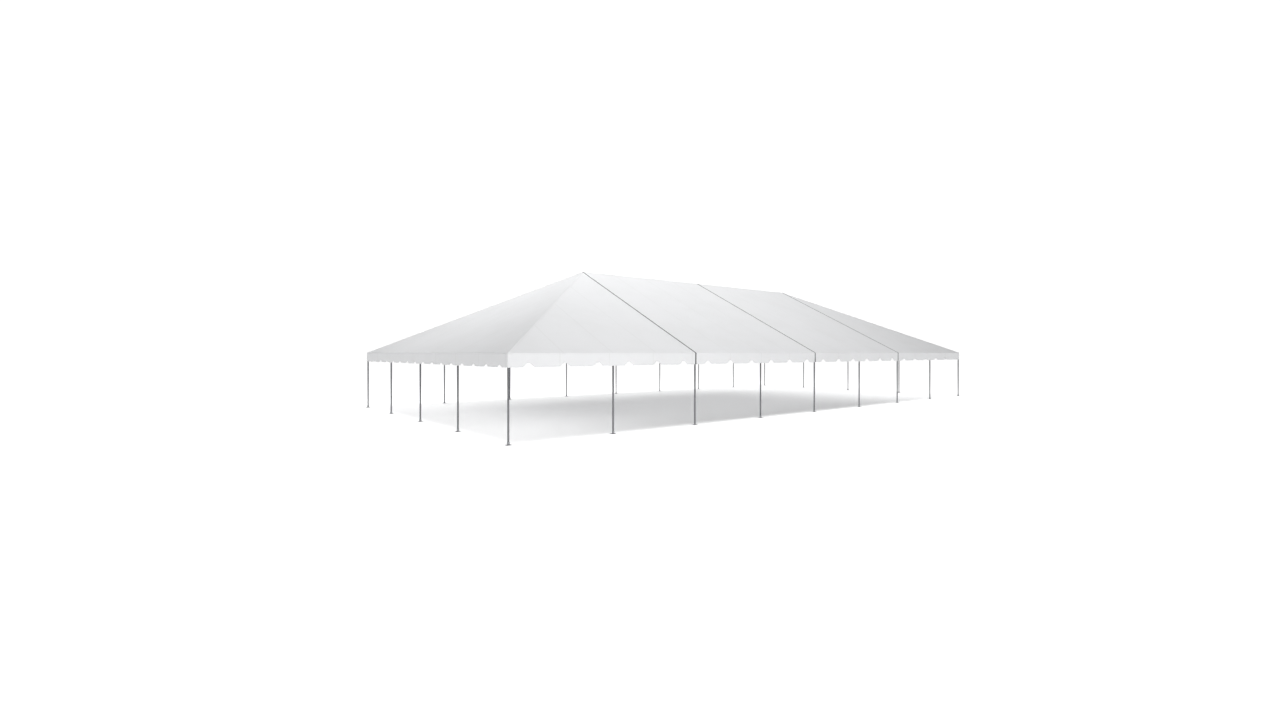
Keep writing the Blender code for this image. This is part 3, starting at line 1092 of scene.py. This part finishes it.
def makeLongRail(node, signY):
    y, inward = signY * halfDepth, -signY
    addLongTube(at(-halfLength, y, railZ), at(halfLength, y, railZ))
    for k in range(tent["baysLong"] + 1):
        point = at(-halfLength + k * bay, y, railZ)
        if k in (0, tent["baysLong"]):
            toward = 1 if k == 0 else -1
            addSocket(point, down, at(1, 1))
            addBall(point)
            addSocket(point, alongX * toward)
            addSocket(point, alongY * inward, at(toward, 0, 1))
            addSocket(point, mirrored(riseHip, toward, inward), at(1, -toward * inward).normalized())
        else:
            addSocket(point, down, alongX)
            addSleeve(point, alongX, at(0, inward, 1).normalized())
            addSocket(point, mirrored(riseY, 1, inward), alongX, fitting["onSleeve"])
    makeFramePiece(node)


def makeEndRail(node, signX):
    x = signX * halfLength
    addSeatedTube(at(x, -halfDepth, railZ), at(x, halfDepth, railZ), splice=False)
    for k in range(1, tent["baysDeep"]):
        point = at(x, -halfDepth + k * bay, railZ)
        addSleeve(point, alongY, at(-signX, 0, 1).normalized())
        for direction in (down, mirrored(riseX, -signX, 1)):
            addSocket(point, direction, alongY, fitting["onSleeve"])
    makeFramePiece(node)


def makeRidge():
    addLongTube(at(-crownX, 0, ridgeZ), at(crownX, 0, ridgeZ))
    for k in ridgeLines:
        point = at(-halfLength + k * bay, 0, ridgeZ)
        for signY in (-1, 1):
            addSocket(point, -mirrored(riseY, 1, -signY), alongX, fitting["onSleeve"])
        if k in (ridgeLines[0], ridgeLines[-1]):
            toward = 1 if k == ridgeLines[0] else -1
            addBall(point)
            addSocket(point, alongX * toward)
            addSocket(point, -mirrored(riseX, toward, 1), alongY)
            for signY in (-1, 1):
                addSocket(point, -mirrored(riseHip, toward, -signY))
        else:
            addSleeve(point, alongX, alongY)
    makeFramePiece("ridge_beam")


def makeRafter(node, low, high, splice=True):
    addSeatedTube(low, high, splice)
    makeFramePiece(node)


def makeHipEnd(name, signX):
    crown = at(signX * crownX, 0, ridgeZ)
    makeRafter("end_rafter_" + name, at(signX * halfLength, 0, railZ), crown)
    for side, signY in (("front", -1), ("back", 1)):
        corner = at(signX * halfLength, signY * halfDepth, railZ)
        middle = (corner + crown) / 2
        hipLine = mirrored(riseHip, -signX, -signY)
        addSeatedTube(corner, crown, splice=False)
        addSleeve(middle, hipLine, hipLine.cross(skyward).normalized(), tent["socketLength"])
        addSocket(middle, -mirrored(riseY, 1, -signY), alongX, fitting["onHip"])
        addSocket(middle, -mirrored(riseX, -signX, 1), alongY, fitting["onHip"])
        makeFramePiece("hip_rafter_%s_%s" % (name, side))
        jack = "jack_rafter_%s_%s_" % (name, side)
        makeRafter(jack + "side", at(middle.x, corner.y, railZ), middle, splice=False)
        makeRafter(jack + "end", at(corner.x, middle.y, railZ), middle, splice=False)


makeLongRail("eave_rail_front", -1)
makeLongRail("eave_rail_back", 1)
makeEndRail("eave_rail_left", -1)
makeEndRail("eave_rail_right", 1)
makeRidge()
for k in ridgeLines:
    x = -halfLength + k * bay
    for side, signY in (("front", -1), ("back", 1)):
        makeRafter("rafter_%s_%d" % (side, k - 1), at(x, signY * halfDepth, railZ), at(x, 0, ridgeZ))
makeHipEnd("left", -1)
makeHipEnd("right", 1)
print("frame tent: frame made")


# stage, lights and camera
floorLooks = {
    "reach": 200.0,
    "drop": 0.002,
    "colour": (0.80, 0.80, 0.80),
    "roughness": 0.9,
    "specular": 0.0,
    "glow": 0.85,               # lifts the open floor to plain white
    "paintedShadowGlow": 0.19,          # the glow left under the tent, which paints the tent's shadow on the floor
    # painted shadow: between these edges the floor's glow falls from the open level to the level under the
    # tent
    "paintedShadowEdges": (("X", -18.0, -5.0), ("X", -13.0, -11.6), ("X", 16.0, 2.4), ("Y", -6.7, -5.4),
                   ("Y", 9.3, 1.6), ("Y", 7.2, 6.0)),
}
floorMesh = bpy.data.meshes.new("studioFloor")
corners = [at(x, y) * floorLooks["reach"] for x, y in ((-1, -1), (1, -1), (1, 1), (-1, 1))]
floorMesh.from_pydata(corners, [], [(0, 1, 2, 3)])
floorPiece = placeObject("studioFloor", floorMesh)
floorPiece.location.z = -floorLooks["drop"]
floorMaterial, floorTree, floorShader = newMaterial("studioWhitePaintedShadow", floorLooks)
floorAxes = axesOf(addNode("TexCoord", tree=floorTree).outputs["Object"])
# painted shadow under the tent: the ramps together lower the floor's glow
paintedShadowShare = 1.0
for axis, openEdge, shadeEdge in floorLooks["paintedShadowEdges"]:
    paintedShadowShare = calc("MULTIPLY", paintedShadowShare, ramp(floorAxes[axis], openEdge, shadeEdge, shape="SMOOTHSTEP"))
glow = calc("MULTIPLY_ADD", paintedShadowShare, floorLooks["paintedShadowGlow"] - floorLooks["glow"], floorLooks["glow"])
feed(floorShader.inputs["Emission Strength"], glow)
feed(floorShader.inputs["Emission Color"], (1, 1, 1, 1))
joinSurfaces(addNode("NewGeometry", tree=floorTree).outputs["Backfacing"], floorShader,
             addNode("BsdfTransparent", tree=floorTree))
floorMesh.materials.append(floorMaterial)

cameraLooks = {
    "place": (-18.444, -18.762, 2.178),
    "turn": -39.46,
    "focal": 585.9,             # in pixels of a frame of this size
    "frame": (1280, 720),
    "middle": (645.6, 352.4),
    "sensor": 36,
    "clipEnd": 500,
}
(frameWidth, frameHeight), (middleX, middleY) = cameraLooks["frame"], cameraLooks["middle"]
cameraData = bpy.data.cameras.new("camera")
cameraData.sensor_width = cameraLooks["sensor"]
cameraData.lens = cameraLooks["sensor"] * cameraLooks["focal"] / frameWidth
cameraData.shift_x = -(middleX - frameWidth / 2) / frameWidth
cameraData.shift_y = (middleY - frameHeight / 2) / frameWidth
cameraData.clip_end = cameraLooks["clipEnd"]
camera = placeObject("camera", cameraData)
camera.location = cameraLooks["place"]
camera.rotation_euler = (radians(90), 0, radians(cameraLooks["turn"]))
bpy.context.scene.camera = camera

# strengths of the sky, with the edges between which it changes
skyLooks = {
    "sky": 0.235,
    "horizon": 0.72,
    "horizonLeft": 0.31,
    "leftEdges": (-0.7, -0.2),
    "skyEdges": (0.04, 0.30),
    "backdrop": 1.1,
}
world = bpy.data.worlds.new("studioSky")
bpy.context.scene.world = world
world.use_nodes = True
skyTree = world.node_tree
sky = skyTree.nodes["Background"]
skyAxes = axesOf(addNode("TexCoord", tree=skyTree).outputs["Generated"])
levels = [skyLooks["horizonLeft"], skyLooks["horizon"]]
horizon = ramp(skyAxes["X"], *skyLooks["leftEdges"], *levels, "SMOOTHSTEP")
strength = ramp(skyAxes["Z"], *skyLooks["skyEdges"], horizon, skyLooks["sky"], "SMOOTHSTEP")
feed(sky.inputs["Strength"], strength)
feed(sky.inputs["Color"], (1, 1, 1, 1))
backdrop = addNode("Background", {"Color": (1, 1, 1, 1), "Strength": skyLooks["backdrop"]}, skyTree)
seen = addNode("LightPath", tree=skyTree).outputs["Is Camera Ray"]
joinSurfaces(seen, sky, backdrop, "World Output")

lampLooks = {
    "front": {"place": (-11.8, -16.2, 5.8), "aim": (-6, -6, 2.2), "power": 290.0, "size": 3.0},
    "left": {"place": (-12.9, 2.8, 16.0), "aim": (-6, 0, 3), "power": 1020.0, "size": 6.0},
    "high": {"place": (2.2, -5.4, 25.5), "aim": (0, 0, 3), "power": 3330.0, "size": 12.0},
}
for lampName, looks in lampLooks.items():
    lamp = bpy.data.lights.new(lampName + "Lamp", "AREA")
    lamp.shape = "DISK"
    lamp.size = looks["size"]
    lamp.energy = looks["power"]
    lampPiece = placeObject(lampName + "Lamp", lamp)
    lampPiece.location = looks["place"]
    aim = Vector(looks["aim"]) - Vector(looks["place"])
    lampPiece.rotation_euler = aim.to_track_quat("-Z", "Y").to_euler()

bpy.context.scene.view_settings.view_transform = "Standard"
print("frame tent: stage, lights and camera set")
